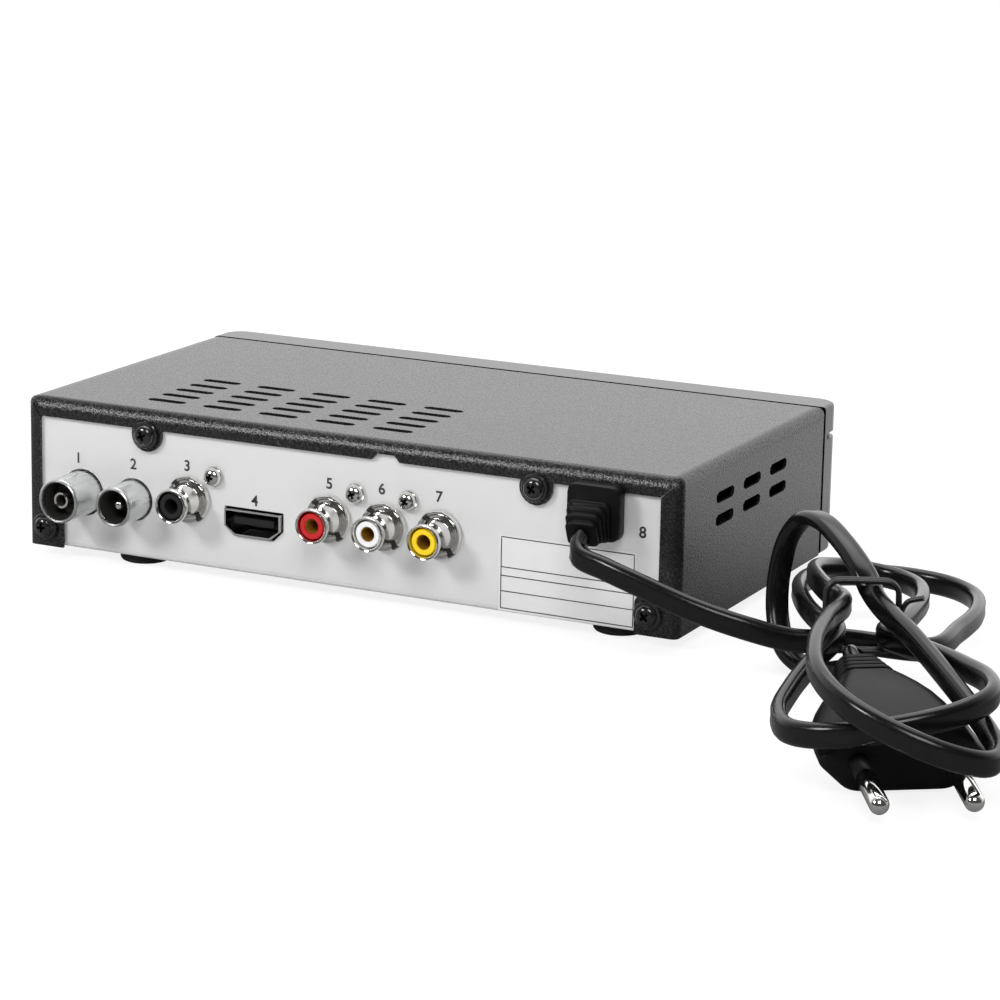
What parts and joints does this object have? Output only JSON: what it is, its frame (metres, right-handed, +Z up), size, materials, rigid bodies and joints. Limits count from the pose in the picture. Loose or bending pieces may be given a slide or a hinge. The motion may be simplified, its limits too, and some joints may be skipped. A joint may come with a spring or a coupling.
{
  "type": "set-top receiver with mains cord",
  "caption": "Flat television receiver box with a vented folded steel cover, a socket panel at the back, sprung front keys, and a tied flat mains cord with a two-pin plug.",
  "frame": {"origin": "bottom centre of the box and its sockets without the cord, level with the undersides of the feet", "axes": "+X along the box's width, to the left seen from behind; +Y out of the socket panel; +Z up"},
  "size_m": [0.2699, 0.189, 0.0389],
  "materials": {
    "charcoal_paint": "fine textured, satin",
    "grey_paint": "smooth satin",
    "grey_plastic": "smooth satin",
    "dark_acrylic": "polished",
    "key_plastic": "satin",
    "black_rubber": "matte",
    "black_screw": "black finish",
    "zinc_screw": "bright zinc",
    "nickel": "bright nickel",
    "gilt_contact": "bright",
    "tin_plate": "tinned",
    "red_plastic": "moulded",
    "white_plastic": "moulded",
    "yellow_plastic": "moulded",
    "black_plastic": "moulded",
    "board_green": "solder mask",
    "aluminium": "drawn",
    "tape_yellow": "taped",
    "cord_black": "soft gloss"
  },
  "bodies": {
    "chassis": {"top_cover": "charcoal_paint", "base_tray": "grey_paint", "front_fascia": "grey_plastic", "display_window": "dark_acrylic", "foot_rear_left": "black_rubber", "foot_rear_right": "black_rubber", "foot_front_left": "black_rubber", "foot_front_right": "black_rubber", "cover_screw_upper_left": "black_screw", "cover_screw_upper_right": "black_screw", "cover_screw_lower_left": "black_screw", "cover_screw_lower_right": "black_screw", "jack_screw_coax": "zinc_screw", "jack_screw_left_right": "zinc_screw", "jack_screw_right_video": "zinc_screw", "tuner_can": "tin_plate", "rf_in_shell": "nickel", "rf_in_contact": "gilt_contact", "rf_out_shell": "nickel", "rf_out_contact": "nickel", "coax_shell": "nickel", "coax_insert": "black_plastic", "left_shell": "nickel", "left_insert": "red_plastic", "right_shell": "nickel", "right_insert": "white_plastic", "video_shell": "nickel", "video_insert": "yellow_plastic", "coax_housing": "black_plastic", "av_housing": "black_plastic", "digital_shell": "nickel", "digital_tongue": "black_plastic", "main_board": "board_green", "power_board": "board_green", "decoder_chip": "black_plastic", "heatsink": "aluminium", "mains_connector": "white_plastic", "mains_capacitor": "black_plastic", "transformer": "tape_yellow", "output_capacitor": "black_plastic", "front_board": "board_green", "led_display": "black_plastic", "remote_receiver": "black_plastic", "standby_switch": "black_plastic", "channel_down_switch": "black_plastic", "channel_up_switch": "black_plastic", "data_socket": "nickel", "ribbon_lead": "white_plastic", "supply_lead": "black_plastic", "strain_relief": "cord_black", "inner_lead": "cord_black", "mains_lead": "cord_black", "cord_hank": "cord_black", "twist_tie": "black_plastic", "plug_body": "black_plastic", "plug_pin_left": "nickel", "plug_pin_right": "nickel"},
    "standby_key_body": {"standby_key": "key_plastic"},
    "channel_down_key_body": {"channel_down_key": "key_plastic"},
    "channel_up_key_body": {"channel_up_key": "key_plastic"}
  },
  "joints": [
    {"name": "standby_key_press", "type": "slide", "parent": "chassis", "child": "standby_key_body", "axis": [0, 1, 0], "range_m": [0, 0.0005], "stiffness_N_per_m": 400},
    {"name": "channel_down_key_press", "type": "slide", "parent": "chassis", "child": "channel_down_key_body", "axis": [0, 1, 0], "range_m": [0, 0.0005], "stiffness_N_per_m": 400},
    {"name": "channel_up_key_press", "type": "slide", "parent": "chassis", "child": "channel_up_key_body", "axis": [0, 1, 0], "range_m": [0, 0.0005], "stiffness_N_per_m": 400}
  ]
}
